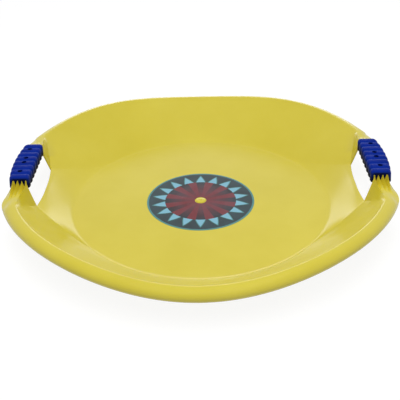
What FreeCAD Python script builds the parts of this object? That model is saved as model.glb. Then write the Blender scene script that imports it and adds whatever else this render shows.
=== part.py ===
"""Saucer sled: a round moulded dish with two capped hand bars and a round centre label.

Frame: origin at the middle of the floor's underside, +Z up out of the dish,
the hand bars on +X and -X. All lengths are millimetres.
"""
import FreeCAD, Part
import math
import os
from FreeCAD import Placement, Rotation, Vector

SIZES = [
    # the dish
    ("floor_radius", 200.0, "radius of the flat floor, out to its crease"),
    ("wall_thickness", 3.2, "thickness of the moulded sheet everywhere"),
    ("rim_run", 81.0, "from the floor crease out to the ridge of the rim"),
    ("rim_rise", 63.0, "ridge above the floor at the sides, also the top of each hand bar"),
    ("rim_dip", 9.0, "how much lower the ridge is at the front and at the back"),
    ("rim_crown", 5.2, "how much the ridge swells up between the ends and the sides"),
    ("lip_width", 15.0, "rolled lip outside the ridge at the front and back"),
    ("lip_flare", 5.0, "how much wider the lip is towards the sides"),
    ("lip_drop", 11.5, "fall of the lip from the ridge to its widest line"),
    ("lip_skirt", 5.0, "fall of the lip below its widest line"),
    ("lip_return", 2.5, "how far the lip's lower edge tucks back in"),
    ("boss_radius", 8.0, "moulding boss in the middle of the floor"),
    ("boss_height", 1.2, "height of the boss above the floor"),
    # the two hand bars
    ("sill_run", 44.0, "from the floor crease out to the straight sill under each bar"),
    ("sill_rise", 29.5, "sill above the floor"),
    ("sill_land", 1.0, "upright land left above the sill, under the opening"),
    ("bar_inner_run", 54.5, "from the floor crease out to the bar's straight inner side"),
    ("bar_outer_run", 78.5, "from the floor crease out to the bar's round outer side"),
    ("bar_edge_width", 5.0, "width of the bar's rolled outer edge"),
    ("bar_edge_drop", 5.0, "fall of the bar's rolled outer edge"),
    ("bar_edge_skirt", 1.0, "fall of the bar's edge below its widest line"),
    ("bar_edge_return", 0.5, "how far the bar's edge tucks back in"),
    ("bar_bead", 1.5, "bead hanging under the bar's inner side"),
    ("bar_trim", 0.5, "how far the opening cuts into the bar's inner side"),
    ("window_length", 112.0, "length of the opening between sill and bar"),
    ("jamb_length", 2.0, "level part of the bar beyond each end of the opening"),
    ("flank_blend", 40.0, "length over which the bar's flank climbs the plain wall to the ridge"),
    ("lip_blend", 32.0, "length over which the bar's edge widens into the lip"),
    ("fin_height", 10.5, "fins above the top of the bar"),
    ("fin_thickness", 2.0, "thickness of one fin"),
    ("fin_show", 1.0, "level top of a fin seen beyond each end of the grip"),
    ("fin_run", 30.0, "length of the slope at each end of a fin"),
    ("fin_spread", 6.0, "how far each slope of a fin leans out to its lower end"),
    ("fin_margin", 2.0, "bar left clear beside the first fin"),
    # the two grips
    ("grip_end_gap", 1.0, "opening left free beyond each end of a grip"),
    ("grip_wall", 3.0, "side walls of a grip"),
    ("grip_roof", 2.0, "roof of a grip between its ribs"),
    ("grip_skirt", 3.0, "grip sides below the top of the bar"),
    ("grip_clearance", 0.5, "clearance between a grip and the bar inside it"),
    ("rib_width", 12.4, "width of one rounded rib across a grip"),
    ("rib_height", 1.5, "rib above the roof of the grip"),
    ("hole_diameter", 7.5, "drain holes through the roof of a grip"),
    # the label
    ("label_radius", 84.5, "round label on the floor"),
    ("label_thickness", 0.3, "thickness of the label"),
    ("label_hole_gap", 1.0, "floor seen between the boss and the label"),
    # the one overrun of every cut
    ("overrun", 4.0, "how far a cutting tool runs past what it cuts"),
]

FRONT_COUNT = 12
BLEND_COUNT = 11
BAR_COUNT = 3
DIP_POWER = 7
FLARE_POWER = 8
SWELL_PEAK_SHARE = 0.4 * 0.6 ** 1.5
FIN_COUNT = 4
RIB_COUNT = 8
HOLE_SHARES = (0.165, 0.43, 0.555, 0.805)
SILL_END_SHARE = 0.86
SHOULDER_END_SHARE = 0.97
FIN_ROOT_SHARE = 0.75
FIN_END_SHARE = 0.2
ROUND_SHARE = math.sqrt(0.5)

doc = FreeCAD.newDocument("saucer_sled")
sheet = doc.addObject("Spreadsheet::Sheet", "sizes")
for row, (alias, value, words) in enumerate(SIZES, start=1):
    sheet.set("A%d" % row, words)
    sheet.set("B%d" % row, str(value))
    sheet.setAlias("B%d" % row, alias)
doc.recompute()
size = {alias: float(sheet.get(alias)) for alias, value, words in SIZES}


def cell(words):
    """An expression with every size name in it read from the sheet."""
    out = words
    for alias in sorted(size, key=len, reverse=True):
        out = out.replace("{" + alias + "}", "sizes." + alias)
    return out


def bind(obj, **expressions):
    """Drive properties of an object; px, py and pz are its position."""
    where = {"px": "Placement.Base.x", "py": "Placement.Base.y", "pz": "Placement.Base.z"}
    for key, words in expressions.items():
        obj.setExpression(where.get(key, key), cell(words))
    return obj


def add(kind, name, **expressions):
    return bind(doc.addObject(kind, name), **expressions)


def fuse(name, shapes):
    joined = doc.addObject("Part::MultiFuse", name)
    joined.Shapes = shapes
    return joined


def common(name, shapes):
    shared = doc.addObject("Part::MultiCommon", name)
    shared.Shapes = shapes
    return shared


def cut(name, base, tool):
    left = doc.addObject("Part::Cut", name)
    left.Base = base
    left.Tool = tool
    return left


# The moulded sheet of the dish. Its rim changes height and section all the way
# round, so it is lofted through radial sections and closed by the floor.

def ease(part):
    """Zero to one with level ends."""
    part = min(1.0, max(0.0, part))
    return part * part * (3 - 2 * part)


def mix(plain, at_bar, bar_share):
    return plain * (1 - bar_share) + at_bar * bar_share


rim_radius = size["floor_radius"] + size["rim_run"]
level_half = size["window_length"] / 2 + size["jamb_length"]
lip_start = size["window_length"] / 2 - size["grip_end_gap"] + size["grip_clearance"]


def upper_line(angle):
    """Radius and height of the inner side's corners at one angle from the front."""
    across = abs(math.sin(angle))
    along = abs(math.cos(angle))
    bar_radius = size["floor_radius"] + size["bar_outer_run"]
    bar_share = 1 - ease((rim_radius * along - level_half) / size["flank_blend"])
    lip_share = 1 - ease((rim_radius * along - lip_start) / size["lip_blend"])
    base = size["wall_thickness"]
    swell = across ** 2 * along ** 3 / SWELL_PEAK_SHARE * (1 - bar_share)
    rise = size["rim_rise"] - size["rim_dip"] * along ** DIP_POWER + size["rim_crown"] * swell

    def on_wall(bar_run, end_share, height):
        """A corner that is straight along the bar and then climbs the wall to its end."""
        run = mix(end_share * size["rim_run"], bar_run, bar_share)
        lift = height - size["rim_rise"] * bar_run / size["rim_run"]
        radius = size["floor_radius"] + run
        if bar_share > 0:
            radius = mix(radius, radius / across, bar_share)
        return radius, base + rise * run / size["rim_run"] + lift * bar_share

    sill = on_wall(size["sill_run"], SILL_END_SHARE, size["sill_rise"])
    shoulder = on_wall(size["bar_inner_run"], SHOULDER_END_SHARE, size["rim_rise"])
    lip_width = size["lip_width"] + size["lip_flare"] * across ** FLARE_POWER
    width = mix(lip_width, size["bar_edge_width"], lip_share)
    drop = mix(size["lip_drop"], size["bar_edge_drop"], lip_share)
    ridge = (mix(rim_radius, bar_radius - size["bar_edge_width"], lip_share), base + rise)
    skirt = mix(size["lip_skirt"], size["bar_edge_skirt"], lip_share)
    tuck = mix(size["lip_return"], size["bar_edge_return"], lip_share)
    return sill, shoulder, ridge, width, drop, skirt, tuck


def below(before, corner, after):
    """The corner moved through the sheet, square to both lines that meet in it."""
    normals = []
    for first, last in ((before, corner), (corner, after)):
        run = last[0] - first[0]
        rise = last[1] - first[1]
        length = math.hypot(run, rise)
        normals.append((rise / length, -run / length))
    (ax, az), (bx, bz) = normals
    reach = size["wall_thickness"] / (1 + ax * bx + az * bz)
    return corner[0] + reach * (ax + bx), corner[1] + reach * (az + bz)


def section(angle):
    """One radial section of the sheet, from the floor over the rim and back under it."""
    sheet_gap = size["wall_thickness"]
    sill, shoulder, ridge, width, drop, skirt, tuck = upper_line(angle)
    crease = (size["floor_radius"], sheet_gap)
    outer = (ridge[0] + width, ridge[1] - drop)
    turn = (ridge[0] + width * ROUND_SHARE, ridge[1] - drop * (1 - ROUND_SHARE))
    foot = (outer[0] - tuck, outer[1] - skirt)
    slant = math.hypot(width, drop)
    foot_in = (foot[0] - sheet_gap, foot[1])
    outer_in = (outer[0] - sheet_gap, outer[1])
    turn_in = (turn[0] - sheet_gap * drop / slant, turn[1] - sheet_gap * width / slant)
    ridge_in = (ridge[0], ridge[1] - sheet_gap)
    shoulder_in = below(sill, shoulder, ridge)
    sill_in = below(crease, sill, shoulder)
    crease_in = below((0, sheet_gap), crease, sill)

    def point(corner):
        radius, height = corner
        return Vector(radius * math.sin(angle), -radius * math.cos(angle), height)

    edges = []
    for first, last in ((crease, sill), (sill, shoulder), (shoulder, ridge)):
        edges.append(Part.makeLine(point(first), point(last)))
    edges.append(Part.Arc(point(ridge), point(turn), point(outer)).toShape())
    for first, last in ((outer, foot), (foot, foot_in), (foot_in, outer_in)):
        edges.append(Part.makeLine(point(first), point(last)))
    edges.append(Part.Arc(point(outer_in), point(turn_in), point(ridge_in)).toShape())
    for first, last in ((ridge_in, shoulder_in), (shoulder_in, sill_in), (sill_in, crease_in)):
        edges.append(Part.makeLine(point(first), point(last)))
    return Part.Wire(edges)


def quarter_angles():
    """Angles of the sections from the front to the middle of a bar, close where it blends."""
    blend_start = min(lip_start, level_half)
    blend_end = max(lip_start + size["lip_blend"], level_half + size["flank_blend"])
    plain_end = math.acos(blend_end / rim_radius)
    angles = [plain_end * step / FRONT_COUNT for step in range(FRONT_COUNT)]
    for step in range(BLEND_COUNT):
        side = blend_end + (blend_start - blend_end) * step / BLEND_COUNT
        angles.append(math.acos(side / rim_radius))
    for step in range(BAR_COUNT):
        angles.append(math.acos(blend_start * (1 - step / BAR_COUNT) / rim_radius))
    return angles


def floor_face(edges, up):
    """A flat round face inside edges of both halves, facing out of the sheet."""
    face = Part.Face(Part.Wire(edges))
    if (face.normalAt(0, 0).z > 0) != up:
        face.reverse()
    return face


def moulded_sheet():
    quarter = quarter_angles()
    half = quarter + [math.pi / 2] + [math.pi - angle for angle in reversed(quarter)]
    faces = []
    for turn in (0, math.pi):
        faces += Part.makeLoft([section(angle + turn) for angle in half], False, False, False).Faces
    long_edges = [edge for face in faces for edge in face.Edges if edge.Length > size["floor_radius"]]
    middle = size["wall_thickness"] / 2
    upper = [edge for edge in long_edges if middle < edge.BoundBox.ZMax < 3 * middle]
    lower = [edge for edge in long_edges if edge.BoundBox.ZMax < middle]
    faces += [floor_face(upper, True), floor_face(lower, False)]
    return Part.Solid(Part.makeShell(faces))


moulding = doc.addObject("Part::Feature", "moulding")
moulding.Shape = moulded_sheet()
moulding.Placement = Placement(Vector(0, 0, 0), Rotation())

# Each opening takes the wall away between the sill and the bar.
BAR_TOP = "({wall_thickness} + {rim_rise})"
SILL_TOP = "({wall_thickness} + {sill_rise} + {sill_land})"
SILL_X = "({floor_radius} + {sill_run})"
BAR_INNER = "({floor_radius} + {bar_inner_run})"
BAR_OUTER = "({floor_radius} + {bar_outer_run})"
GRIP_LENGTH = "({window_length} - 2 * {grip_end_gap})"
FIN_HALF = "(" + GRIP_LENGTH + " / 2 + {fin_show})"
FIN_ROOT = "({wall_thickness} * %s)" % FIN_ROOT_SHARE

windows = []
fins = []
END_X = "sqrt(" + BAR_OUTER + "^2 - (" + GRIP_LENGTH + " / 2)^2)"
FIN_FIRST = "(" + BAR_INNER + " + {fin_margin} + {fin_thickness} / 2)"
FIN_LAST = "(" + END_X + " - {fin_thickness})"
for name, turned in (("right", 0), ("left", 180)):
    facing = Rotation(Vector(0, 0, 1), turned)
    sign = "-1 * " if turned else ""
    other = "" if turned else "-1 * "
    face_box = add("Part::Box", "window_face_" + name,
                   Length=BAR_INNER + " - " + SILL_X + " + {bar_trim} + {overrun}",
                   Width="{window_length}",
                   Height=BAR_TOP + " + {overrun} - " + SILL_TOP)
    face_box.Placement = Placement(Vector(0, 0, 0), facing)
    bind(face_box, px=sign + "(" + SILL_X + " - {overrun})",
         py=other + "{window_length} / 2", pz=SILL_TOP)
    under_box = add("Part::Box", "window_under_" + name,
                    Length=BAR_INNER + " - " + SILL_X + " + {wall_thickness} + 2 * {overrun}",
                    Width="{window_length}",
                    Height=BAR_TOP + " - {wall_thickness} - {bar_bead} - " + SILL_TOP)
    under_box.Placement = Placement(Vector(0, 0, 0), facing)
    bind(under_box, px=sign + "(" + SILL_X + " - {overrun})",
         py=other + "{window_length} / 2", pz=SILL_TOP)
    windows += [face_box, under_box]

    # The fins stand along the bar, and slope down and outwards at both of its ends.
    for number in range(FIN_COUNT):
        fin_name = "fin_%s_%d" % (name, number + 1)
        step = "%d / %d" % (number, FIN_COUNT - 1)
        fin_x = sign + "(" + FIN_FIRST + " + (" + FIN_LAST + " - " + FIN_FIRST + ") * " + step + ")"
        fin_z = BAR_TOP + " - " + FIN_ROOT
        fins.append(add("Part::Box", fin_name, Length="{fin_thickness}", Width="2 * " + FIN_HALF,
                        Height=FIN_ROOT + " + {fin_height}",
                        px=fin_x + " - {fin_thickness} / 2", py="-1 * " + FIN_HALF, pz=fin_z))
        high = ("-{fin_thickness} / 2", "{fin_thickness} / 2", FIN_ROOT + " + {fin_height}")
        low = (sign + "{fin_spread} - {fin_thickness} / 2",
               sign + "{fin_spread} + {fin_thickness} / 2", FIN_ROOT + " * %s" % FIN_END_SHARE)
        for end_name, near, far in (("back", high, low), ("front", low, high)):
            start = FIN_HALF if near is high else "-1 * (" + FIN_HALF + " + {fin_run})"
            slope = add("Part::Wedge", fin_name + "_" + end_name,
                        Xmin=near[0], Xmax=near[1], Zmax=near[2],
                        X2min=far[0], X2max=far[1], Z2max=far[2],
                        Ymax="{fin_run}", px=fin_x, py=start, pz=fin_z)
            slope.Ymin = 0
            slope.Zmin = 0
            slope.Z2min = 0
            fins.append(slope)

boss = add("Part::Cylinder", "boss", Radius="{boss_radius}",
           Height="{wall_thickness} / 2 + {boss_height}", pz="{wall_thickness} / 2")

opened = cut("opened", moulding, fuse("windows", windows))
dish = fuse("dish", [opened, boss] + fins)
dish.Label = "dish"

# The right grip: a block with rounded ribs, round outside, hollow over bar and fins.
SKIRT_Z = "(" + BAR_TOP + " - {grip_skirt})"
CEILING = "(" + BAR_TOP + " + {fin_height} + {grip_clearance})"
ROOF_TOP = "(" + CEILING + " + {grip_roof})"
CHANNEL_IN = "(" + BAR_INNER + " - {grip_clearance})"
CHANNEL_OUT = "(" + BAR_OUTER + " + {grip_clearance})"
GRIP_IN = "(" + CHANNEL_IN + " - {grip_wall})"
GRIP_OUT = "(" + CHANNEL_OUT + " + {grip_wall})"
RIB_RADIUS = "(({rib_width} / 2)^2 + {rib_height}^2) / (2 * {rib_height})"

pieces = [add("Part::Box", "grip_block",
              Length=GRIP_OUT + " - " + GRIP_IN, Width=GRIP_LENGTH,
              Height=ROOF_TOP + " - " + SKIRT_Z,
              px=GRIP_IN, py="-" + GRIP_LENGTH + " / 2", pz=SKIRT_Z)]
for number in range(RIB_COUNT):
    rib = add("Part::Cylinder", "rib_%d" % (number + 1), Radius=RIB_RADIUS,
              Height=GRIP_OUT + " - " + GRIP_IN)
    rib.Placement = Placement(Vector(0, 0, 0), Rotation(Vector(0, 1, 0), 90))
    place = "%d / %d" % (2 * number + 1, 2 * RIB_COUNT)
    bind(rib, px=GRIP_IN, py=GRIP_LENGTH + " * (" + place + " - 1 / 2)",
         pz=ROOF_TOP + " + {rib_height} - " + RIB_RADIUS)
    pieces.append(rib)

outside_round = add("Part::Cylinder", "outside_round", Radius=GRIP_OUT,
                    Height=ROOF_TOP + " + {overrun} - " + SKIRT_Z, pz=SKIRT_Z)
outside_box = add("Part::Box", "outside_box",
                  Length=GRIP_OUT + " - " + GRIP_IN + " + {overrun}", Width=GRIP_LENGTH,
                  Height=ROOF_TOP + " + {overrun} - " + SKIRT_Z,
                  px=GRIP_IN, py="-" + GRIP_LENGTH + " / 2", pz=SKIRT_Z)
outside = common("grip_outside", [outside_round, outside_box])
body = common("grip_body", [fuse("grip_ribbed", pieces), outside])

channel_box = add("Part::Box", "channel_box",
                  Length=GRIP_OUT + " - " + CHANNEL_IN, Width=GRIP_LENGTH + " + 2 * {overrun}",
                  Height=CEILING + " - " + SKIRT_Z + " + {overrun}",
                  px=CHANNEL_IN, py="-" + GRIP_LENGTH + " / 2 - {overrun}", pz=SKIRT_Z + " - {overrun}")
channel_round = add("Part::Cylinder", "channel_round", Radius=CHANNEL_OUT,
                    Height=CEILING + " - " + SKIRT_Z + " + {overrun}", pz=SKIRT_Z + " - {overrun}")
hollows = [common("channel", [channel_box, channel_round])]
for number, share in enumerate(HOLE_SHARES):
    hollows.append(add("Part::Cylinder", "hole_%d" % (number + 1), Radius="{hole_diameter} / 2",
                       Height="{grip_roof} + {rib_height} + 2 * {overrun}",
                       px="(" + GRIP_IN + " + " + GRIP_OUT + ") / 2",
                       py=GRIP_LENGTH + " * (1 / 2 - %s)" % share, pz=CEILING + " - {overrun}"))

grip_right = cut("grip_right", body, fuse("grip_hollows", hollows))
grip_right.Label = "grip_right"

grip_left = doc.addObject("Part::Mirroring", "grip_left")
grip_left.Source = grip_right
grip_left.Normal = Vector(1, 0, 0)
grip_left.Label = "grip_left"

# The label lies on the floor round the boss.
label_disc = add("Part::Cylinder", "label_disc", Radius="{label_radius}",
                 Height="{label_thickness}", pz="{wall_thickness}")
label_hole = add("Part::Cylinder", "label_hole", Radius="{boss_radius} + {label_hole_gap}",
                 Height="{label_thickness} + 2 * {overrun}", pz="{wall_thickness} - {overrun}")
centre_label = cut("centre_label", label_disc, label_hole)
centre_label.Label = "centre_label"

doc.recompute()

for obj in doc.Objects:
    if "Invalid" in obj.State or "Error" in obj.State:
        raise RuntimeError("%s did not recompute: %s" % (obj.Label, obj.State))

os.makedirs("parts", exist_ok=True)
for part in (dish, grip_left, grip_right, centre_label):
    if part.Shape.isNull() or not part.Shape.isValid():
        raise RuntimeError("%s has no valid shape" % part.Label)
    part.Shape.exportStep("parts/%s.step" % part.Label)
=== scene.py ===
"""Saucer sled: the finished look of the dish, its two grips and its round label.

Everything is in metres, in the frame of the solid model: the origin is the middle of
the floor's underside, +Z is up out of the dish and the grips lie on +X and -X.
"""

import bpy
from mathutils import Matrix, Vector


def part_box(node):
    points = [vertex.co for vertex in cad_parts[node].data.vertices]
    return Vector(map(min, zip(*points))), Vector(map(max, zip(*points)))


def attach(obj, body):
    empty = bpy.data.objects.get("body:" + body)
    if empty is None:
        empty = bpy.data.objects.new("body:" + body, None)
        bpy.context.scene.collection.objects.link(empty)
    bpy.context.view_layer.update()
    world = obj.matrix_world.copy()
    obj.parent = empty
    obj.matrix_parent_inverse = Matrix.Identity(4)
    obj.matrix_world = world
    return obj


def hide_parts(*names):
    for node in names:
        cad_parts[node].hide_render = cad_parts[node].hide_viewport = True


bl_info = {
    "name": "Saucer sled",
    "version": (1, 0, 0),
    "blender": (4, 5, 0),
    "location": "View3D > Sidebar > Sled",
    "description": "Models a moulded saucer sled with ribbed hand grips",
    "category": "Mesh",
}

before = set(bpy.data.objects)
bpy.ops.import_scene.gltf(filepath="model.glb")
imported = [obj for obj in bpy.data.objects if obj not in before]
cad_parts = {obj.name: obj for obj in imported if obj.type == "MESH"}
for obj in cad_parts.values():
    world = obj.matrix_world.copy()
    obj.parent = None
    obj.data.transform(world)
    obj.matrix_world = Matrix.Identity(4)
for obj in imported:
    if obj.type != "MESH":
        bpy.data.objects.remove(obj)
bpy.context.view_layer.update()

import math
from collections import namedtuple

import bmesh
import bpy
from bpy.props import FloatProperty, FloatVectorProperty, IntProperty, PointerProperty
from bpy.types import NodeSocket, Operator, Panel, PropertyGroup
from mathutils import Matrix, Vector

LABEL_LOW, LABEL_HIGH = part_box("centre_label")
GRIP_LOW, GRIP_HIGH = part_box("grip_right")
FLOOR_TOP = LABEL_LOW.z

# How finely a quarter of the dish is divided, from the back round to the middle of a bar.
PLAIN_COLUMNS = 40
FLANK_COLUMNS = 14
WINDOW_COLUMNS = 10
WALL_ROWS = 7
JAMB_ROWS = 3
CORNER_ROWS = 7
# Rings of the floor and of its underside, as shares of the floor's radius.
FLOOR_SHARES = (0.1, 0.25, 0.45, 0.6, 0.72)
UNDER_FLOOR_SHARES = (0.72, 0.4, 0.0)
# Turns of the lip, in degrees from the ridge: those that carry on the lines of the fins, one
# above the widest line, the widest line itself, and those back along the underside.
FIN_TURNS = (16.0, 27.0, 38.0, 48.0, 57.0, 66.0)
LAST_TURN = 77.0
WIDEST_TURN = 90.0
UNDER_TURNS = (WIDEST_TURN, 65.0, 40.0, 20.0)

# The sill's line lies this share of the way up the plain wall.
SILL_LINE_SHARE = 0.95
# The top of a flank lies this share of the way from the sill to the ridge or the first fin.
FLANK_TOP_SHARE = 0.85
# The last window column stands this share of the half window from the bar's middle.
LAST_COLUMN_SHARE = 0.988
# Share of the plain quarter at which the wall's lines begin to lean towards the panels.
LEAN_START_SHARE = 0.3
# How suddenly the ridge dips at front and back, and the lip widens at the sides.
DIP_POWER = 7
FLARE_POWER = 8
# The ridge swells with these powers of across and along, whose product comes to the peak at most.
SWELL_ACROSS_POWER = 2
SWELL_ALONG_POWER = 3
SWELL_PEAK = 0.4 * 0.6 ** 1.5
# A bow of x (1 - x), times this, is one deep in its middle; its slope at the ends is this too.
BOW_FACTOR = 4.0
# The fins on each bar, and how quickly they fall away from it.
FIN_COUNT = 4
FIN_POWER = 1.6
# The moulding mark and the boss round it, as shares of their radius and of the boss's height.
MARK_PROFILE = ((0.0, 0.6), (0.8, 0.6), (1.0, 1.0))
BOSS_PROFILE = ((0.93, 1.0), (1.0, 0.7), (1.04, 0.0))
# The quarters round from the back at which the two openings have their middles.
WINDOW_QUARTERS = (1, 3)
# Points nearer than this share of the sheet's thickness, or of the film's edge, are one.
SHEET_MERGE_SHARE = 0.001
FILM_MERGE_SHARE = 0.1

# The ribs of a grip: their height, their columns, how flat their tops are, and how wide the
# painted highlight lines between them are.
RIB_HEIGHT = 0.0015
RIB_STEPS = 10
RIB_POWER = 2.4
RIB_HIGHLIGHT_SHARE = 0.7
# Rows along each straight side of a grip's outline.
GRIP_ROWS = 8
# In the middle of a grip, the top of its outer side stands this far beyond the solid's box.
GRIP_SPARE = 0.0002
# Places of the drain holes along a grip, from its far end.
HOLE_SHARES = (0.165, 0.43, 0.555, 0.805)
LABEL_SEGMENTS = 144
LABEL_RINGS = 5
# Keeps a groove that lies on a whole number from being counted to the rib before it.
ROUND_OFF = 1e-6

# Rounded edges: their segments, their profile, and the material of the faces beside them.
EDGE_SEGMENTS = 2
ROUND_PROFILE = 0.5
SAME_MATERIAL = -1
# Edges that turn by more than these degrees look sharp, or are rounded by a modifier.
DISH_SHARP_DEGREES = 38.0
SMALL_SHARP_DEGREES = 35.0
SOFT_EDGE_DEGREES = 60.0

# Noise of the plastics: details, roughness, the stretch and turn of the rubbed streaks, and
# the ranges that are taken out of the noise.
CLOUD_DETAIL, CLOUD_ROUGHNESS, CLOUD_RANGE = 4.0, 0.55, (0.35, 0.65)
STREAK_DETAIL, STREAK_ROUGHNESS, STREAK_RANGE = 6.0, 0.65, (0.55, 0.75)
STREAK_STRETCH, STREAK_TURN = (1.0, 9.0, 1.0), (0.0, 0.0, 0.6)
GRAIN_DETAIL = 2.0
# Scales of clouds and grain, roughness where plain and where rubbed, and depth of the grain.
Finish = namedtuple("Finish", "clouds grain plain rubbed depth")
SHELL_FINISH = Finish(9.0, 900.0, 0.18, 0.26, 0.00002)
GRIP_FINISH = Finish(40.0, 1500.0, 0.42, 0.55, 0.00006)
LABEL_FINISH = Finish(30.0, 1200.0, 0.20, 0.32, 0.00001)
SHELL_IOR = 1.5
GRIP_SPECULAR = 0.03
LABEL_SPECULAR = 0.25
# How strongly the painted highlight on the ribs' edges shows, from one cloud to the next.
RIB_HIGHLIGHT_RANGE = (0.35, 0.75)
# Limits of the print: rays take half of the middle field, and a pennant has an outline.
RAY_LIMIT = 0.5
PENNANT_LIMIT = 0.16
PENNANT_FILL_LIMIT = 0.28
PRINT_TINT = 0.05
# Sockets of a Mix node for its two colours and for what comes of them.
MIX_FIRST, MIX_LAST, MIX_RESULT = 6, 7, 2
WHITE = (1.0, 1.0, 1.0, 1.0)
SENSOR_WIDTH = 36.0


def length(label, value, words):
    """A size in metres."""
    return FloatProperty(name=label, description=words, default=value, min=0.0,
                         precision=4, unit="LENGTH")


def share(label, value, words):
    """A value from zero to one."""
    return FloatProperty(name=label, description=words, default=value, min=0.0, max=1.0,
                         subtype="FACTOR")


def colour(label, value, words):
    """A colour in linear light."""
    return FloatVectorProperty(name=label, description=words, default=value, size=4,
                               min=0.0, max=1.0, subtype="COLOR")


class DishSizes(PropertyGroup):
    """Sizes of the round moulded dish; heights are above the floor's upper side."""
    sheet: length("Sheet", FLOOR_TOP, "Thickness of the moulded sheet")
    floor_radius: length("Floor radius", 0.200, "Flat floor, out to its crease")
    crease_round: length("Crease round", 0.005, "Softness of the crease round the floor")
    rim_run: length("Rim run", 0.081, "From the crease out to the ridge")
    rim_rise: length("Rim rise", 0.063, "Ridge above the floor at the sides")
    rim_dip: length("Rim dip", 0.0090, "How much lower the ridge is at front and back")
    rim_crown: length("Rim crown", 0.0052, "Swell of the ridge between the ends and the sides")
    lip_width: length("Lip width", 0.0148, "Rolled lip outside the ridge at front and back")
    lip_flare: length("Lip flare", 0.0048, "How much wider the lip is at the sides")
    lip_drop: length("Lip drop", 0.0115, "Fall of the lip to its widest line")
    lip_skirt: length("Lip skirt", 0.0047, "Fall of the lip below its widest line")
    lip_return: length("Lip return", 0.0025, "How far the lip's edge tucks in")
    boss_radius: length("Boss radius", 0.0078, "Moulding boss in the middle of the floor")
    boss_height: length("Boss height", 0.0012, "Boss above the floor")
    gate_radius: length("Gate radius", 0.0018, "Moulding mark in the middle of the boss")
    edge_round: length("Edge round", 0.0007, "Rounding of the sheet's cut edges")


class BarSizes(PropertyGroup):
    """Sizes of the two hand bars, their openings and fins."""
    sill_x: length("Sill", 0.2437, "Ends of the sill under the opening")
    sill_rise: length("Sill rise", 0.0300, "Ends of the sill above the floor")
    sill_bow: length("Sill bow", 0.0036, "How much nearer the axis the sill's middle is")
    sill_sag: length("Sill sag", 0.0010, "How much lower the sill's middle is")
    inner_x: length("Inner side", 0.2550, "Straight inner side of the bar")
    outer_radius: length("Outer radius", 0.2795, "Round outer side of the bar")
    edge_width: length("Edge width", 0.005, "Rolled outer edge of the bar")
    edge_drop: length("Edge drop", 0.005, "Fall of the rolled outer edge")
    edge_skirt: length("Edge skirt", 0.001, "Fall of the edge below its widest line")
    edge_return: length("Edge return", 0.0005, "How far the edge tucks in")
    window_half: length("Half opening", 0.056, "Half the length of the opening")
    flank_end: length("Flank end", 0.105, "Where the bar's flank ends on the ridge")
    panel_spread: FloatProperty(name="Panel spread", default=math.radians(40.0), subtype="ANGLE",
                                description="Half the crease's arc below the panel under an opening")
    fold_spread: FloatProperty(name="Fold spread", default=math.radians(3.0), subtype="ANGLE",
                               description="Arc of the crease beside a panel that the flank takes")
    panel_sag: length("Panel sag", 0.0010, "How far a panel hangs below straight lines")
    fold_sag: length("Fold sag", 0.0030, "How much more the folds beside a panel hang")
    lip_blend: length("Lip blend", 0.038, "Length over which the edge widens into the lip")
    fin_first_x: length("First fin", 0.2548, "Crest of the innermost fin")
    fin_last_x: length("Last fin", 0.2716, "Crest of the outermost fin")
    fin_height: length("Fin height", 0.0100, "Fins above the top of the bar")
    groove_depth: length("Groove depth", 0.0022, "Grooves between the fins below the top of the bar")
    fin_spread: length("Fin spread", 0.0019, "How much wider the fins stand in front of a grip")
    groove_end: share("Groove end", 0.78, "Share of the flank at which the grooves run out")
    fin_end: share("Fin end", 0.64, "Share of the flank at which the fins run out")


class GripSizes(PropertyGroup):
    """Sizes of the two ribbed grips that cap the hand bars."""
    half_length: length("Half length", GRIP_HIGH.y, "Half the length of a grip")
    inner_x: length("Inner side", GRIP_LOW.x, "Straight inner side")
    outer_radius: length("Outer radius", GRIP_HIGH.x + GRIP_SPARE, "Round outer side at the top")
    outer_lean: length("Outer lean", 0.0016, "How far the outer side leans out downwards")
    inner_lean: length("Inner lean", 0.0008, "How far the inner side leans in downwards")
    top: length("Top", GRIP_HIGH.z - RIB_HEIGHT, "Top of a grip between its ribs")
    bottom: length("Bottom", GRIP_LOW.z, "Lower edge of both sides")
    corner: length("Corner", 0.0045, "Rounding between top and sides")
    wall: length("Wall", 0.0030, "Thickness of the cap")
    rib_height: length("Rib height", RIB_HEIGHT, "Ribs above the grooves between them")
    end_round: length("End round", 0.0008, "Rounding of both ends")
    end_corner: length("End corner", 0.0025, "Rounding of the corners seen from above")
    # Where the grips' navy painted shade lies: a band round each end, and the sides, all navy from the
    # second depth down.
    end_shade_band: length("End band", 0.0020, "Darker band round each end")
    side_shade_band: length("Side band", 0.0130, "Depth of the sides at which they are all navy")
    edge_round: length("Edge round", 0.0006, "Rounding of the lower edges")
    hole_radius: length("Hole radius", 0.0037, "Drain holes in the top")
    hole_depth: length("Hole depth", 0.0022, "Depth to which a drain hole is seen")
    ribs: IntProperty(name="Ribs", description="Ribs on each grip", default=8, min=1)


class LabelSizes(PropertyGroup):
    """Sizes of the round label and of its printed rings."""
    radius: length("Radius", LABEL_HIGH.x, "Outside of the label")
    hole: length("Hole", 0.0090, "Hole round the boss")
    edge_round: length("Edge round", 0.0001, "Rounding of the film's edges")
    band_inner: length("Band inside", 0.0560, "Inside of the printed border")
    band_outer: length("Band outside", 0.0815, "Outside of the printed border")
    pennants: IntProperty(name="Pennants", description="Pennants round the border", default=18, min=3)
    rays: IntProperty(name="Rays", description="Rays of the middle field", default=12, min=3)


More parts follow.
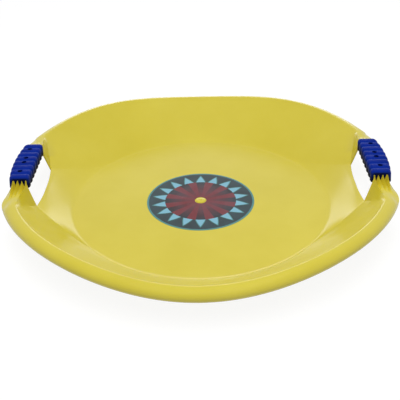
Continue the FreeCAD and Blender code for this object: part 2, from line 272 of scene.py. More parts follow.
class SledColours(PropertyGroup):
    """Colours of the plastics and of the print."""
    shell: colour("Shell", (0.680, 0.570, 0.030, 1.0), "Yellow of the dish")
    shell_pale: colour("Shell pale", (0.720, 0.610, 0.044, 1.0), "Paler clouds in the yellow")
    grip: colour("Grip", (0.004, 0.024, 0.290, 1.0), "Blue of the grips")
    grip_dark: colour("Grip dark", (0.003, 0.018, 0.230, 1.0), "Darker clouds in the blue")
    # Navy painted shade for the grips' sides, ends and hole floors.
    grip_shade: colour("Grip side", (0.002, 0.005, 0.045, 1.0), "Navy of the sides and ends")
    # Lighter blue painted highlight along the ribs' edges.
    grip_highlight: colour("Grip worn", (0.022, 0.070, 0.430, 1.0), "Rubbed edges of the ribs")
    band: colour("Band", (0.022, 0.042, 0.050, 1.0), "Dark border of the label")
    pennant: colour("Pennant", (0.220, 0.500, 0.650, 1.0), "Pale blue pennants")
    outline: colour("Outline", (0.080, 0.260, 0.260, 1.0), "Teal outlines of the print")
    field: colour("Field", (0.180, 0.022, 0.030, 1.0), "Maroon middle field")
    ray: colour("Ray", (0.016, 0.020, 0.026, 1.0), "Dark rays of the middle field")


class StageSettings(PropertyGroup):
    """The camera, the light and the floor."""
    distance: length("Camera distance", 1.100, "From the middle of the floor to the camera")
    elevation: FloatProperty(name="Elevation", description="Camera above the floor's plane",
                             default=math.radians(31.82), subtype="ANGLE")
    yaw: FloatProperty(name="Yaw", description="Camera to the right of the middle",
                       default=math.radians(0.93), subtype="ANGLE")
    roll: FloatProperty(name="Roll", description="Camera turned about its own axis",
                        default=math.radians(-1.41), subtype="ANGLE")
    lens: FloatProperty(name="Lens", description="Focal length on a 36 mm sensor",
                        default=62.71, subtype="DISTANCE_CAMERA")
    aim_side: FloatProperty(name="Aim side", description="Camera's aim beside the middle",
                            default=-0.00095, unit="LENGTH")
    aim_height: length("Aim height", 0.0038, "Camera's aim above the floor's underside")
    floor_half: length("Half floor", 6.0, "Half the side of the floor")
    floor_bounce: share("Floor bounce", 0.60, "Grey of the floor for soft light that it sends on")
    floor_grey: share("Floor grey", 0.15, "Grey of the floor where it is seen")
    floor_glow: share("Floor glow", 0.90, "White that the floor gives where it is seen")
    lamp_height: length("Lamp height", 2.4, "Overhead lamp above the floor")
    lamp_forward: length("Lamp forward", 0.7, "Overhead lamp in front of the sled")
    lamp_width: length("Lamp width", 1.6, "Width of the overhead lamp")
    lamp_depth: length("Lamp depth", 2.6, "Depth of the overhead lamp")
    lamp_power: FloatProperty(name="Lamp power", description="Power of the overhead lamp",
                              default=44.0, unit="POWER")
    back_distance: length("Back distance", 1.6, "Long low lamp behind the sled")
    back_height: length("Back height", 0.39, "Middle of the back lamp above the floor")
    back_width: length("Back width", 1.5, "Width of the back lamp")
    back_depth: length("Back depth", 0.54, "Height of the back lamp's face")
    back_power: FloatProperty(name="Back power", description="Power of the back lamp",
                              default=4.4, unit="POWER")
    ambient: share("Ambient", 0.36, "Soft light from all round")


# Small helpers for points.

def ease(part):
    """Zero to one with level ends."""
    part = min(1.0, max(0.0, part))
    return part * part * (3.0 - 2.0 * part)


def mix(first, last, part):
    """A number between two others."""
    return first + (last - first) * part


def between(first, last, count):
    """Points evenly spaced between two points, without the two."""
    return [first.lerp(last, step / (count + 1)) for step in range(1, count + 1)]


def soft_corner(before, corner, after, count):
    """Points of a curve from before to after that is pulled towards the corner."""
    points = []
    for step in range(count):
        part = step / (count - 1)
        points.append(before.lerp(corner, part).lerp(corner.lerp(after, part), part))
    return points


def on_ray(angle, radius, height):
    """A point at an angle from +Y towards +X."""
    return Vector((radius * math.sin(angle), radius * math.cos(angle), height))


def around(first, last, part):
    """A point between two others, taken round the dish's axis."""
    angle = mix(math.atan2(first.x, first.y), math.atan2(last.x, last.y), part)
    return on_ray(angle, mix(first.xy.length, last.xy.length, part), mix(first.z, last.z, part))


def wall_rows(low, high, round_share, bow):
    """Points up the wall, bowed under an opening and round the axis on the plain wall."""
    rows = []
    for step in range(1, WALL_ROWS + 1):
        part = step / (WALL_ROWS + 1)
        bowed = low.lerp(high, part) + bow * (BOW_FACTOR * part * (1.0 - part))
        rows.append(bowed.lerp(around(low, high, part), round_share))
    return rows


# The dish, worked out for one quarter of it, from +Y round to +X.

class Rim:
    """The rolled lip at one angle: plain_share is 0 on a bar and 1 on the plain rim."""

    def __init__(self, dish, bar, angle, plain_share):
        across, along = abs(math.sin(angle)), abs(math.cos(angle))
        flare = dish.lip_width + dish.lip_flare * across ** FLARE_POWER
        swell = across ** SWELL_ACROSS_POWER * along ** SWELL_ALONG_POWER / SWELL_PEAK * plain_share
        plain_radius = dish.floor_radius + dish.rim_run
        self.angle = angle
        self.top = dish.rim_rise - dish.rim_dip * along ** DIP_POWER + dish.rim_crown * swell
        self.radius = mix(bar.outer_radius - bar.edge_width, plain_radius, plain_share)
        self.width = mix(bar.edge_width, flare, plain_share)
        self.drop = mix(bar.edge_drop, dish.lip_drop, plain_share)
        self.skirt = mix(bar.edge_skirt, dish.lip_skirt, plain_share)
        self.tuck = mix(bar.edge_return, dish.lip_return, plain_share)

    def at(self, degrees, depth=0.0):
        """A point of the lip that many degrees round from the ridge, depth below its face."""
        turn = math.radians(degrees)
        radius = self.radius + (self.width - depth) * math.sin(turn)
        height = self.top - self.drop + (self.drop - depth) * math.cos(turn)
        return on_ray(self.angle, radius, height)

    def foot(self, depth=0.0):
        """The lower edge of the lip, depth inside its outer side."""
        radius = self.radius + self.width - self.tuck - depth
        return on_ray(self.angle, radius, self.top - self.drop - self.skirt)


def plain_end(dish, bar):
    """Angle at which the plain rim ends and the flank of a bar begins."""
    return math.acos(bar.flank_end / (dish.floor_radius + dish.rim_run))


def plain_crease(dish, bar, angle):
    """Where the wall's line that ends at an angle of the ridge starts on the floor's crease."""
    end = plain_end(dish, bar)
    fold = math.pi / 2.0 - bar.panel_spread - bar.fold_spread
    lean = ease((angle / end - LEAN_START_SHARE) / (1.0 - LEAN_START_SHARE))
    return on_ray(angle + (fold - end) * lean, dish.floor_radius, 0.0)


def plain_keys(dish, bar, angle):
    """Corner points of the plain wall at an angle."""
    rim = Rim(dish, bar, angle, 1.0)
    crease = plain_crease(dish, bar, angle)
    ridge = rim.at(0.0)
    sill = around(crease, ridge, SILL_LINE_SHARE)
    top = around(sill, ridge, FLANK_TOP_SHARE)
    turns = [rim.at(turn) for turn in FIN_TURNS]
    first = soft_corner(top, ridge, turns[0], 3)[1]
    down = through_sheet(dish, on_ray(angle, dish.floor_radius, 0.0), ridge)
    return {"crease": crease, "sill": sill, "top": top, "lines": [first] + turns,
            "sill_under": sill + down, "top_under": top + down}


def through_sheet(dish, low, high):
    """The step from the wall's face to its underside, square to the line from low to high."""
    run = Vector((high.x - low.x, high.y - low.y, 0.0))
    rise = high.z - low.z
    step = run.normalized() * rise - Vector((0.0, 0.0, run.length))
    return step.normalized() * dish.sheet


def bar_keys(dish, bar, side, at_jamb):
    """Corner points of a bar at a distance from its middle; at a jamb the fins stand wider."""
    part = side / bar.window_half
    spread = bar.panel_spread * part
    crease = on_ray(math.pi / 2.0 - spread, dish.floor_radius, 0.0)
    middle = 1.0 - part * part
    sill = Vector((bar.sill_x - bar.sill_bow * middle, side, bar.sill_rise - bar.sill_sag * middle))
    first = Vector((bar.fin_first_x, side, dish.rim_rise))
    last = Vector((bar.fin_last_x, side, dish.rim_rise))
    top = Vector((bar.inner_x, side, dish.rim_rise))
    if at_jamb:
        top = sill.lerp(first + Vector((0.0, 0.0, bar.fin_height)), FLANK_TOP_SHARE)
        first.x -= bar.fin_spread
        last.x += bar.fin_spread
    # Crests and grooves take turns from the first crest to the last.
    lines = [first] + between(first, last, 2 * FIN_COUNT - 3) + [last]
    return {"crease": crease, "sill": sill, "top": top, "lines": lines,
            "sill_under": sill + through_sheet(dish, crease, sill),
            "top_under": Vector((bar.inner_x, side, dish.rim_rise - dish.sheet))}


def blend_keys(first, last, part):
    """Corner points between two sections."""
    keys = {}
    for name, point in first.items():
        if name == "lines":
            keys[name] = [a.lerp(b, part) for a, b in zip(point, last[name])]
        else:
            keys[name] = point.lerp(last[name], part)
    return keys


def quarter_column(dish, bar, column):
    """Corner points and rim of one column of the quarter, and its share of the plain wall."""
    end = plain_end(dish, bar)
    if column <= PLAIN_COLUMNS:
        angle = end * column / PLAIN_COLUMNS
        return plain_keys(dish, bar, angle), Rim(dish, bar, angle, 1.0), 1.0
    column -= PLAIN_COLUMNS
    bar_end = math.acos(bar.window_half / bar.outer_radius)
    flank = bar.flank_end - bar.window_half
    if column <= FLANK_COLUMNS:
        part = 1.0 - column / FLANK_COLUMNS
        keys = blend_keys(bar_keys(dish, bar, bar.window_half, True), plain_keys(dish, bar, end), part)
        spread = bar.panel_spread + bar.fold_spread * part
        keys["crease"] = on_ray(math.pi / 2.0 - spread, dish.floor_radius, 0.0)
        widened = min(1.0, part * flank / bar.lip_blend)
        rim = Rim(dish, bar, mix(bar_end, end, part), 1.0 - (1.0 - widened) ** 2)
        return keys, rim, part
    column -= FLANK_COLUMNS
    inner_columns = WINDOW_COLUMNS - 1
    side = bar.window_half * LAST_COLUMN_SHARE * (1.0 - (column - 1) / inner_columns)
    rim = Rim(dish, bar, math.acos(side / bar.outer_radius), 0.0)
    return bar_keys(dish, bar, side, False), rim, 0.0


def dish_section(dish, bar, column):
    """All points of one column, over the face and back under it, and the rows of its corners."""
    keys, rim, plain_share = quarter_column(dish, bar, column)
    crease, sill, top = keys["crease"], keys["sill"], keys["top"]
    outwards = crease.normalized()
    sag = bar.panel_sag + bar.fold_sag * ease(sill.y / bar.window_half)
    bow = Vector((0.0, 0.0, -sag * (1.0 - plain_share)))
    uphill = (sill - crease + bow * BOW_FACTOR).normalized()
    bend = dish.crease_round
    rows = {}
    points = []
    for radius, profile in ((dish.gate_radius, MARK_PROFILE), (dish.boss_radius, BOSS_PROFILE)):
        points += [outwards * (radius * out) + Vector((0.0, 0.0, dish.boss_height * up))
                   for out, up in profile]
    points += [crease * part for part in FLOOR_SHARES]
    bend_end = crease + uphill * bend
    points += soft_corner(crease - outwards * bend, crease, bend_end, CORNER_ROWS)
    points += wall_rows(bend_end, sill, plain_share, bow)
    rows["sill"] = len(points)
    points += [sill] + between(sill, top, JAMB_ROWS)
    rows["top"] = len(points)
    points.append(top)
    for number, point in enumerate(keys["lines"]):
        rise = bar.fin_height * max(0.0, 1.0 - plain_share / bar.fin_end) ** FIN_POWER
        if number % 2:
            rise = -bar.groove_depth * max(0.0, 1.0 - plain_share / bar.groove_end)
        points.append(point + Vector((0.0, 0.0, rise)))
    widest = rim.at(WIDEST_TURN)
    points += [rim.at(LAST_TURN), widest] + between(widest, rim.foot(), 1)
    rows["foot"] = len(points)
    points += [rim.foot(), rim.foot(dish.sheet)]
    points += [rim.at(turn, dish.sheet) for turn in UNDER_TURNS]
    sill_under, top_under = keys["sill_under"], keys["top_under"]
    rows["top_under"] = len(points)
    points += [top_under] + between(top_under, sill_under, JAMB_ROWS)
    rows["sill_under"] = len(points)
    points.append(sill_under)
    slope = math.asin(uphill.z)
    crease_under = crease + outwards * (dish.sheet * math.tan(slope / 2.0))
    crease_under.z = -dish.sheet
    bend_under = crease_under + uphill * bend
    points += reversed(wall_rows(bend_under, sill_under, plain_share, bow))
    points += soft_corner(bend_under, crease_under, crease_under - outwards * bend, CORNER_ROWS)
    for part in UNDER_FLOOR_SHARES:
        points.append(Vector((crease.x * part, crease.y * part, -dish.sheet)))
    return [point + Vector((0.0, 0.0, FLOOR_TOP)) for point in points], rows


def dish_mesh(dish, bar):
    """The whole dish: a fan of rings, every ring taken to its place, and two openings."""
    quarter = PLAIN_COLUMNS + FLANK_COLUMNS + WINDOW_COLUMNS
    columns = 4 * quarter
    sections = [dish_section(dish, bar, column) for column in range(quarter + 1)]
    rows = sections[0][1]
    count = len(sections[0][0])
    bm = bmesh.new()
    spine = [bm.verts.new((0.0, row, 0.0)) for row in range(count)]
    edges = [bm.edges.new(pair) for pair in zip(spine, spine[1:])]
    bmesh.ops.spin(bm, geom=spine + edges, axis=(0, 0, 1), cent=(0, 0, 0), dvec=(0, 0, 0),
                   angle=math.tau, steps=columns, use_merge=True, use_duplicate=False)
    place = {}
    for vert in bm.verts:
        row = round(math.hypot(vert.co.x, vert.co.y))
        column = round(math.atan2(vert.co.x, vert.co.y) / math.tau * columns) % columns
        place[vert] = (row, column)
        turn, step = divmod(column, quarter)
        point = sections[step if turn % 2 == 0 else quarter - step][0][row]
        flip_x = -1.0 if turn >= 2 else 1.0
        flip_y = -1.0 if turn in (1, 2) else 1.0
        vert.co = (point.x * flip_x, point.y * flip_y, point.z)

    def in_window(face):
        """Whether a face lies where an opening goes through the sheet."""
        low = min(place[vert][0] for vert in face.verts)
        high = max(place[vert][0] for vert in face.verts)
        on_face = low >= rows["sill"] and high <= rows["top"]
        under = low >= rows["top_under"] and high <= rows["sill_under"]
        reach = max(min(abs(place[vert][1] - middle * quarter) for middle in WINDOW_QUARTERS)
                    for vert in face.verts)
        return (on_face or under) and reach <= WINDOW_COLUMNS

    holes = [face for face in bm.faces if in_window(face)]
    bmesh.ops.delete(bm, geom=holes, context="FACES")
    feet = (rows["foot"], rows["foot"] + 1)
    sharp = [edge for edge in bm.edges if place[edge.verts[0]][0] == place[edge.verts[1]][0]
             and place[edge.verts[0]][0] in feet]
    bmesh.ops.remove_doubles(bm, verts=bm.verts, dist=dish.sheet * SHEET_MERGE_SHARE)
    for side in (1, -1):
        border = [edge for edge in bm.edges if edge.is_boundary and edge.verts[0].co.x * side > 0]
        bmesh.ops.bridge_loops(bm, edges=border)
        sharp += border
    bmesh.ops.bevel(bm, geom=sharp, offset=dish.edge_round, segments=EDGE_SEGMENTS, affect="EDGES",
                    profile=ROUND_PROFILE, material=SAME_MATERIAL, clamp_overlap=True)
    bmesh.ops.recalc_face_normals(bm, faces=bm.faces)
    return bm


# The grips: an arched sheet with ribs, drain holes and a wall added by a modifier.

def grip_arch(grip, side):
    """Outline of a grip across its length, from its inner lower edge to its outer one."""
    into = max(0.0, grip.end_corner - (grip.half_length - abs(side)))
    inset = grip.end_corner - math.sqrt(grip.end_corner ** 2 - into ** 2)
    outer = math.sqrt(grip.outer_radius ** 2 - side ** 2) - inset
    inner = grip.inner_x + inset
    corners = [Vector((inner + grip.inner_lean, grip.bottom)), Vector((inner, grip.top)),
               Vector((outer, grip.top)), Vector((outer + grip.outer_lean, grip.bottom))]
    path = [corners[0]]
    for before, corner, after in zip(corners, corners[1:], corners[2:]):
        start = corner + (before - corner).normalized() * grip.corner
        end = corner + (after - corner).normalized() * grip.corner
        path += between(path[-1], start, GRIP_ROWS) + soft_corner(start, corner, end, CORNER_ROWS)
    return path + between(path[-1], corners[3], GRIP_ROWS) + [corners[3]]


def rib_rise(grip, side):
    """Height of the ribs over their grooves, and the rounding of a grip's ends."""
    place = (side / grip.half_length + 1.0) / 2.0 * grip.ribs
    wave = abs(2.0 * (place - math.floor(place + ROUND_OFF)) - 1.0)
    rise = grip.rib_height * (1.0 - wave ** RIB_POWER)
    into = max(0.0, grip.end_round - (grip.half_length - abs(side)))
    return rise - grip.end_round + math.sqrt(grip.end_round ** 2 - into ** 2)


def grip_mesh(grip, facing):
    """A grip bent from a grid one wide and one long, with its holes sunk and its ends closed."""
    steps = grip.ribs * RIB_STEPS
    across = len(grip_arch(grip, 0.0)) - 1
    bm = bmesh.new()
    bmesh.ops.create_grid(bm, x_segments=across, y_segments=steps, size=0.5)
    highlight_layer = bm.verts.layers.float.new("rib_highlight")
    shade_layer = bm.verts.layers.float.new("grip_shade")
    for vert in bm.verts:
        side = 2.0 * vert.co.y * grip.half_length
        path = grip_arch(grip, side)
        spot = round((vert.co.x + 0.5) * across)
        before, after = path[max(spot - 1, 0)], path[min(spot + 1, across)]
        along = (after - before).normalized()
        point = path[spot] + Vector((-along.y, along.x)) * rib_rise(grip, side)
        # Painted highlight: lighter lines along the ribs' edges.
        place = (vert.co.y + 0.5) * grip.ribs
        vert[highlight_layer] = max(0.0, 1.0 - abs(place - round(place)) * grip.ribs / RIB_HIGHLIGHT_SHARE)
        # Painted shade: the navy deepens down the sides and fills a band round each end.
        down = (grip.top - path[spot].y - grip.corner) / (grip.side_shade_band - grip.corner)
        end = 1.0 - (grip.half_length - abs(side)) / grip.end_shade_band
        vert[shade_layer] = max(ease(down), ease(end))
        vert.co = (point.x * facing, side, point.y)
    middle = (grip.inner_x + grip.outer_radius) / 2.0 * facing
    for part in HOLE_SHARES:
        centre = Vector((middle, grip.half_length * (1.0 - 2.0 * part)))
        sink_hole(bm, centre, grip, shade_layer)
    for end in (grip.half_length, -grip.half_length):
        arch = [edge for edge in bm.edges if edge.is_boundary
                and all(abs(vert.co.y - end) < grip.end_round for vert in edge.verts)]
        bmesh.ops.contextual_create(bm, geom=arch)
    bmesh.ops.recalc_face_normals(bm, faces=bm.faces)
    return bm


def sink_hole(bm, centre, grip, layer):
    """Draw the faces inside a circle to its edge, sink them into the top, and give the hole's floor
    navy painted shade.
    """
    lowest = grip.top - grip.corner
    inside = [face for face in bm.faces if face.calc_center_median().z > lowest
              and (face.calc_center_median().xy - centre).length < grip.hole_radius]
    ring = {vert for face in inside for vert in face.verts
            if any(other not in inside for other in vert.link_faces)}
    for vert in ring:
        away = (vert.co.xy - centre).normalized() * grip.hole_radius
        vert.co.xy = centre + away
    sunk = bmesh.ops.extrude_face_region(bm, geom=inside)["geom"]
    bmesh.ops.delete(bm, geom=inside, context="FACES")
    floor = [item for item in sunk if isinstance(item, bmesh.types.BMVert)]
    bmesh.ops.translate(bm, verts=floor, vec=(0.0, 0.0, -grip.hole_depth))
    # Painted shade on the hole's floor.
    for vert in floor:
        vert[layer] = 1.0


# The label.

def label_mesh(label):
    """A thin ring of film with rounded upper edges."""
    low, high = LABEL_LOW.z, LABEL_HIGH.z
    soft = label.edge_round
    rings = [(label.hole, high - soft), (label.hole + soft, high)]
    steps = range(1, LABEL_RINGS)
    rings += [(mix(label.hole, label.radius, step / LABEL_RINGS), high) for step in steps]
    rings += [(label.radius - soft, high), (label.radius, high - soft), (label.radius, low)]
    rings.append((label.hole, low))
    bm = bmesh.new()
    made = bmesh.ops.create_circle(bm, segments=LABEL_SEGMENTS, radius=label.hole,
                                   matrix=Matrix.Translation((0, 0, low)))
    edges = list(dict.fromkeys(edge for vert in made["verts"] for edge in vert.link_edges))
    for radius, height in rings:
        grown = bmesh.ops.extrude_edge_only(bm, edges=edges)["geom"]
        edges = [item for item in grown if isinstance(item, bmesh.types.BMEdge)]
        for vert in {vert for edge in edges for vert in edge.verts}:
            vert.co = vert.co.xy.normalized().to_3d() * radius + Vector((0, 0, height))
    bmesh.ops.remove_doubles(bm, verts=bm.verts, dist=soft * FILM_MERGE_SHARE)
    bmesh.ops.recalc_face_normals(bm, faces=bm.faces)
    return bm


# Materials.

class Nodes:
    """Short words for building one node tree."""

    def __init__(self, tree):
        self.tree = tree
        tree.nodes.clear()

    def add(self, kind, inputs=None, **settings):
        """A new node with its settings, and its sockets linked or set."""
        made = self.tree.nodes.new(kind)
        for name, value in settings.items():
            setattr(made, name, value)
        for name, value in (inputs or {}).items():
            self.put(made.inputs[name], value)
        return made

    def put(self, socket, value):
        """Link a socket to another one, or set its value."""
        if isinstance(value, NodeSocket):
            self.tree.links.new(value, socket)
        else:
            socket.default_value = value

    def math(self, operation, *values):
        """The result of one sum or comparison."""
        made = self.add("ShaderNodeMath", operation=operation)
        for socket, value in zip(made.inputs, values):
            self.put(socket, value)
        return made.outputs[0]

    def ramp(self, value, low, high, first=0.0, last=1.0):
        """A value taken from one range to another, held at the ends."""
        made = self.add("ShaderNodeMapRange", {"Value": value, "From Min": low, "From Max": high,
                                               "To Min": first, "To Max": last})
        return made.outputs[0]

    def blend(self, part, first, last):
        """A colour between two others."""
        made = self.add("ShaderNodeMix", data_type="RGBA")
        self.put(made.inputs[0], part)
        self.put(made.inputs[MIX_FIRST], first)
        self.put(made.inputs[MIX_LAST], last)
        return made.outputs[MIX_RESULT]


def surface_group():
    """Clouds, rubbed patches and fine moulding grain, shared by all the plastics."""
    name = "moulded_surface"
    if name in bpy.data.node_groups:
        return bpy.data.node_groups[name]
    tree = bpy.data.node_groups.new(name, "ShaderNodeTree")
    for label in ("Cloud Scale", "Grain Scale"):
        tree.interface.new_socket(label, in_out="INPUT", socket_type="NodeSocketFloat")
    tree.interface.new_socket("Vector", in_out="INPUT", socket_type="NodeSocketVector")
    for label in ("Clouds", "Rubbing", "Grain"):
        tree.interface.new_socket(label, in_out="OUTPUT", socket_type="NodeSocketFloat")
    nodes = Nodes(tree)
    given = nodes.add("NodeGroupInput").outputs
    where, cloud_scale = given["Vector"], given["Cloud Scale"]
    clouds = nodes.add("ShaderNodeTexNoise", {"Vector": where, "Scale": cloud_scale,
                                              "Detail": CLOUD_DETAIL, "Roughness": CLOUD_ROUGHNESS})
    stretch = nodes.add("ShaderNodeMapping", {"Vector": where, "Scale": STREAK_STRETCH,
                                              "Rotation": STREAK_TURN})
    streaks = nodes.add("ShaderNodeTexNoise", {"Vector": stretch.outputs[0], "Scale": cloud_scale,
                                               "Detail": STREAK_DETAIL, "Roughness": STREAK_ROUGHNESS})
    grain = nodes.add("ShaderNodeTexNoise", {"Vector": where, "Scale": given["Grain Scale"],
                                             "Detail": GRAIN_DETAIL})
    nodes.add("NodeGroupOutput", {"Clouds": nodes.ramp(clouds.outputs[0], *CLOUD_RANGE),
                                  "Rubbing": nodes.ramp(streaks.outputs[0], *STREAK_RANGE),
                                  "Grain": grain.outputs[0]})
    return tree


def new_material(name):
    """An empty material and its nodes."""
    material = bpy.data.materials.new(name)
    material.use_nodes = True
    return material, Nodes(material.node_tree)


def own_place(nodes):
    """A piece's own coordinates."""
    return nodes.add("ShaderNodeTexCoord").outputs["Object"]


def surface(nodes, where, finish):
    """The shared plastic surface with the scales of one finish."""
    made = nodes.add("ShaderNodeGroup", {"Vector": where, "Cloud Scale": finish.clouds,
                                         "Grain Scale": finish.grain}, node_tree=surface_group())
    return made.outputs


def finish_shader(nodes, base, look, finish, **constants):
    """The plastic itself: rougher where it is rubbed, with a fine grain."""
    roughness = nodes.ramp(look["Rubbing"], 0.0, 1.0, finish.plain, finish.rubbed)
    bump = nodes.add("ShaderNodeBump", {"Height": look["Grain"], "Strength": 1.0,
                                        "Distance": finish.depth})
    shader = nodes.add("ShaderNodeBsdfPrincipled", {"Base Color": base, "Roughness": roughness,
                                                    "Normal": bump.outputs[0]})
    for name, value in constants.items():
        shader.inputs[name.replace("_", " ")].default_value = value
    nodes.add("ShaderNodeOutputMaterial", {"Surface": shader.outputs[0]})


def shell_material(colours):
    """Yellow plastic with paler clouds."""
    material, nodes = new_material("yellow_shell")
    look = surface(nodes, own_place(nodes), SHELL_FINISH)
    base = nodes.blend(look["Clouds"], tuple(colours.shell), tuple(colours.shell_pale))
    finish_shader(nodes, base, look, SHELL_FINISH, IOR=SHELL_IOR)
    return material


def grip_material(colours):
    """Blue plastic with navy painted shade on its sides, ends and hole floors, and a painted highlight
    along the ribs' edges.
    """
    material, nodes = new_material("blue_grip")
    look = surface(nodes, own_place(nodes), GRIP_FINISH)
    base = nodes.blend(look["Clouds"], tuple(colours.grip), tuple(colours.grip_dark))
    # Painted highlight along the ribs' edges, broken up by the clouds.
    edge = nodes.add("ShaderNodeAttribute", attribute_name="rib_highlight").outputs["Fac"]
    shine_mask = nodes.math("MULTIPLY", edge, nodes.ramp(look["Clouds"], 0.0, 1.0, *RIB_HIGHLIGHT_RANGE))
    # Navy painted shade on the sides, ends and hole floors.
    side = nodes.add("ShaderNodeAttribute", attribute_name="grip_shade").outputs["Fac"]
    base = nodes.blend(shine_mask, base, tuple(colours.grip_highlight))
    base = nodes.blend(side, base, tuple(colours.grip_shade))
    finish_shader(nodes, base, look, GRIP_FINISH, Specular_IOR_Level=GRIP_SPECULAR)
    return material


def label_material(colours, label):
    """Rings, pennants and rays, drawn by distance and angle from the middle."""
    material, nodes = new_material("printed_label")
    where = own_place(nodes)
    look = surface(nodes, where, LABEL_FINISH)
    split = nodes.add("ShaderNodeSeparateXYZ", {"Vector": where}).outputs
    radius = nodes.math("SQRT", nodes.math("ADD", nodes.math("MULTIPLY", split[0], split[0]),
                                           nodes.math("MULTIPLY", split[1], split[1])))
    turns = nodes.math("DIVIDE", nodes.math("ARCTAN2", split[1], split[0]), math.tau)

    def saw(count):
        """Distance from the nearest of so many spokes, 0 on it and 1 midway."""
        step = nodes.math("FRACT", nodes.math("MULTIPLY", turns, float(count)))
        return nodes.math("ABSOLUTE", nodes.math("SUBTRACT", nodes.math("MULTIPLY", step, 2.0), 1.0))

    def below(value, limit):
        return nodes.math("LESS_THAN", value, limit)

    def above(value, limit):
        return nodes.math("GREATER_THAN", value, limit)

    def both(first, second):
        return nodes.math("MULTIPLY", first, second)

    ray = above(saw(label.rays), RAY_LIMIT)
    fade = nodes.ramp(radius, label.hole, label.band_inner)
    base = nodes.blend(both(ray, fade), tuple(colours.field), tuple(colours.ray))
    height = nodes.ramp(radius, label.band_inner, label.band_outer)
    pointed = nodes.math("SUBTRACT", nodes.math("SUBTRACT", 1.0, height), saw(label.pennants))
    in_band = both(above(radius, label.band_inner), below(radius, label.band_outer))
    base = nodes.blend(in_band, base, tuple(colours.band))
    base = nodes.blend(both(in_band, above(pointed, PENNANT_LIMIT)), base, tuple(colours.outline))
    base = nodes.blend(both(in_band, above(pointed, PENNANT_FILL_LIMIT)), base, tuple(colours.pennant))
    base = nodes.blend(above(radius, label.band_outer), base, tuple(colours.outline))
    tint = nodes.ramp(look["Clouds"], 0.0, 1.0, 0.0, PRINT_TINT)
    base = nodes.blend(tint, base, tuple(colours.pennant))
    finish_shader(nodes, base, look, LABEL_FINISH, Specular_IOR_Level=LABEL_SPECULAR)
    return material


# Pieces and stage.

def add_piece(name, bm, material, node, sharp_degrees):
    """Make a finished piece of a mesh: it rides on the sled and stands for a solid."""
    mesh = bpy.data.meshes.new(name)
    bm.to_mesh(mesh)
    bm.free()
    mesh.shade_smooth()
    mesh.set_sharp_from_angle(angle=math.radians(sharp_degrees))
    mesh.materials.append(material)
    piece = bpy.data.objects.new(name, mesh)
    bpy.context.scene.collection.objects.link(piece)
    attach(piece, "root")
    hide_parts(node)
    return piece


class SLED_OT_dish(Operator):
    """Model the moulded dish with its hand bars and fins"""
    bl_idname = "sled.make_dish"
    bl_label = "Dish"

    def execute(self, context):
        scene = context.scene
        bm = dish_mesh(scene.sled_dish, scene.sled_bar)
        add_piece("dish_shell", bm, shell_material(scene.sled_colours), "dish",
                  DISH_SHARP_DEGREES)
        return {"FINISHED"}


class SLED_OT_grips(Operator):
    """Model the two ribbed grips"""
    bl_idname = "sled.make_grips"
    bl_label = "Grips"

    def execute(self, context):
        grip = context.scene.sled_grip
        material = grip_material(context.scene.sled_colours)
        for node, facing in (("grip_right", 1), ("grip_left", -1)):
            piece = add_piece(node + "_cap", grip_mesh(grip, facing), material, node,
                              SMALL_SHARP_DEGREES)
            wall = piece.modifiers.new("wall", "SOLIDIFY")
            wall.thickness = grip.wall
            wall.offset = -1.0
            wall.use_even_offset = True
            soft = piece.modifiers.new("soft edges", "BEVEL")
            soft.width = grip.edge_round
            soft.segments = EDGE_SEGMENTS
            soft.limit_method = "ANGLE"
            soft.angle_limit = math.radians(SOFT_EDGE_DEGREES)
        return {"FINISHED"}


class SLED_OT_label(Operator):
    """Model the round label"""
    bl_idname = "sled.make_label"
    bl_label = "Label"

    def execute(self, context):
        label = context.scene.sled_label
        material = label_material(context.scene.sled_colours, label)
        add_piece("label_film", label_mesh(label), material, "centre_label",
                  SMALL_SHARP_DEGREES)
        return {"FINISHED"}


class SLED_OT_stage(Operator):
    """Set up the floor, the light and the camera"""
    bl_idname = "sled.make_stage"
    bl_label = "Stage"

    def execute(self, context):
        stage = context.scene.sled_stage
        context.scene.view_settings.view_transform = "Standard"
        add_floor(stage)
        add_light(stage, context.scene)
        add_camera(stage, context.scene)
        return {"FINISHED"}


def seen_directly(nodes):
    """One for rays from the camera and for those that gloss or glass sends on."""
    path = nodes.add("ShaderNodeLightPath").outputs
    either = nodes.math("MAXIMUM", path["Is Camera Ray"], path["Is Glossy Ray"])
    return nodes.math("MAXIMUM", either, path["Is Transmission Ray"])


def add_floor(stage):
    """A wide floor that looks white and sends soft light up."""
    bm = bmesh.new()
    bmesh.ops.create_grid(bm, x_segments=1, y_segments=1, size=stage.floor_half)
    mesh = bpy.data.meshes.new("studio_floor")
    bm.to_mesh(mesh)
    bm.free()
    floor = bpy.data.objects.new("studio_floor", mesh)
    bpy.context.scene.collection.objects.link(floor)
    material, nodes = new_material("pale_floor")
    seen = seen_directly(nodes)
    bounce, grey = ((level, level, level, 1.0) for level in (stage.floor_bounce, stage.floor_grey))
    matt = nodes.add("ShaderNodeBsdfDiffuse", {"Color": nodes.blend(seen, bounce, grey)})
    glow = nodes.math("MULTIPLY", seen, stage.floor_glow)
    white = nodes.add("ShaderNodeEmission", {"Strength": glow})
    both = nodes.add("ShaderNodeAddShader")
    nodes.put(both.inputs[0], matt.outputs[0])
    nodes.put(both.inputs[1], white.outputs[0])
    nodes.add("ShaderNodeOutputMaterial", {"Surface": both.outputs[0]})
    mesh.materials.append(material)


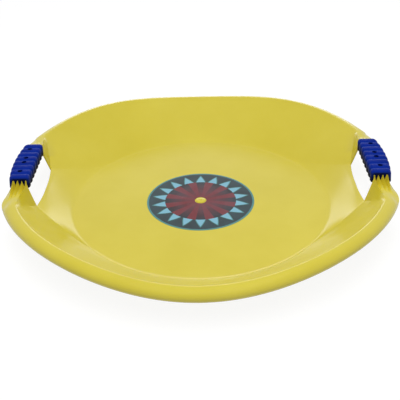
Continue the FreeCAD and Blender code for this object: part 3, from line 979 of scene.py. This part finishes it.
def add_light(stage, scene):
    """A white studio with a lamp overhead and one behind that is seen only in gloss."""
    world = bpy.data.worlds.new("white_studio")
    world.use_nodes = True
    nodes = Nodes(world.node_tree)
    level = nodes.ramp(seen_directly(nodes), 0.0, 1.0, stage.ambient, 1.0)
    white = nodes.add("ShaderNodeBackground", {"Color": WHITE, "Strength": level})
    nodes.add("ShaderNodeOutputWorld", {"Surface": white.outputs[0]})
    scene.world = world
    overhead = add_lamp(scene, "overhead", stage.lamp_power, stage.lamp_width, stage.lamp_depth)
    overhead.location = (0.0, -stage.lamp_forward, stage.lamp_height)
    overhead.visible_glossy = False
    behind = add_lamp(scene, "behind", stage.back_power, stage.back_width, stage.back_depth)
    behind.location = (0.0, stage.back_distance, stage.back_height)
    behind.rotation_euler.x = -math.pi / 2.0
    behind.visible_diffuse = False


def add_lamp(scene, name, power, width, depth):
    """A rectangular soft lamp that shines down until it is turned."""
    light = bpy.data.lights.new(name, "AREA")
    light.shape = "RECTANGLE"
    light.energy = power
    light.size = width
    light.size_y = depth
    lamp = bpy.data.objects.new(name, light)
    lamp.visible_camera = False
    scene.collection.objects.link(lamp)
    return lamp


def add_camera(stage, scene):
    """The camera, aimed at the sled from in front and above."""
    camera = bpy.data.objects.new("camera", bpy.data.cameras.new("camera"))
    camera.data.lens = stage.lens
    camera.data.sensor_width = SENSOR_WIDTH
    aim = Vector((stage.aim_side, 0.0, stage.aim_height))
    level = stage.distance * math.cos(stage.elevation)
    away = Vector((level * math.sin(stage.yaw), -level * math.cos(stage.yaw),
                   stage.distance * math.sin(stage.elevation)))
    turned = (-away).to_track_quat("-Z", "Y").to_matrix().to_4x4()
    roll = Matrix.Rotation(stage.roll, 4, "Z")
    camera.matrix_world = Matrix.Translation(aim + away) @ turned @ roll
    scene.collection.objects.link(camera)
    scene.camera = camera


class SLED_PT_panel(Panel):
    """Sizes, colours and pieces of the sled"""
    bl_idname = "SLED_PT_panel"
    bl_label = "Saucer sled"
    bl_space_type = "VIEW_3D"
    bl_region_type = "UI"
    bl_category = "Sled"

    def draw(self, context):
        for operator in OPERATORS:
            self.layout.operator(operator.bl_idname)
        for name, kind in GROUPS.items():
            box = self.layout.box()
            box.label(text=kind.__doc__)
            for key in kind.__annotations__:
                box.prop(getattr(context.scene, name), key)


GROUPS = {"sled_dish": DishSizes, "sled_bar": BarSizes, "sled_grip": GripSizes,
          "sled_label": LabelSizes, "sled_colours": SledColours, "sled_stage": StageSettings}
OPERATORS = (SLED_OT_dish, SLED_OT_grips, SLED_OT_label, SLED_OT_stage)


def register():
    for kind in tuple(GROUPS.values()) + OPERATORS + (SLED_PT_panel,):
        bpy.utils.register_class(kind)
    for name, kind in GROUPS.items():
        setattr(bpy.types.Scene, name, PointerProperty(type=kind))


def unregister():
    for name in GROUPS:
        delattr(bpy.types.Scene, name)
    for kind in (SLED_PT_panel,) + OPERATORS + tuple(GROUPS.values()):
        bpy.utils.unregister_class(kind)


def main():
    register()
    bpy.ops.sled.make_stage()
    bpy.ops.sled.make_dish()
    bpy.ops.sled.make_grips()
    bpy.ops.sled.make_label()


if __name__ == "__main__":
    main()
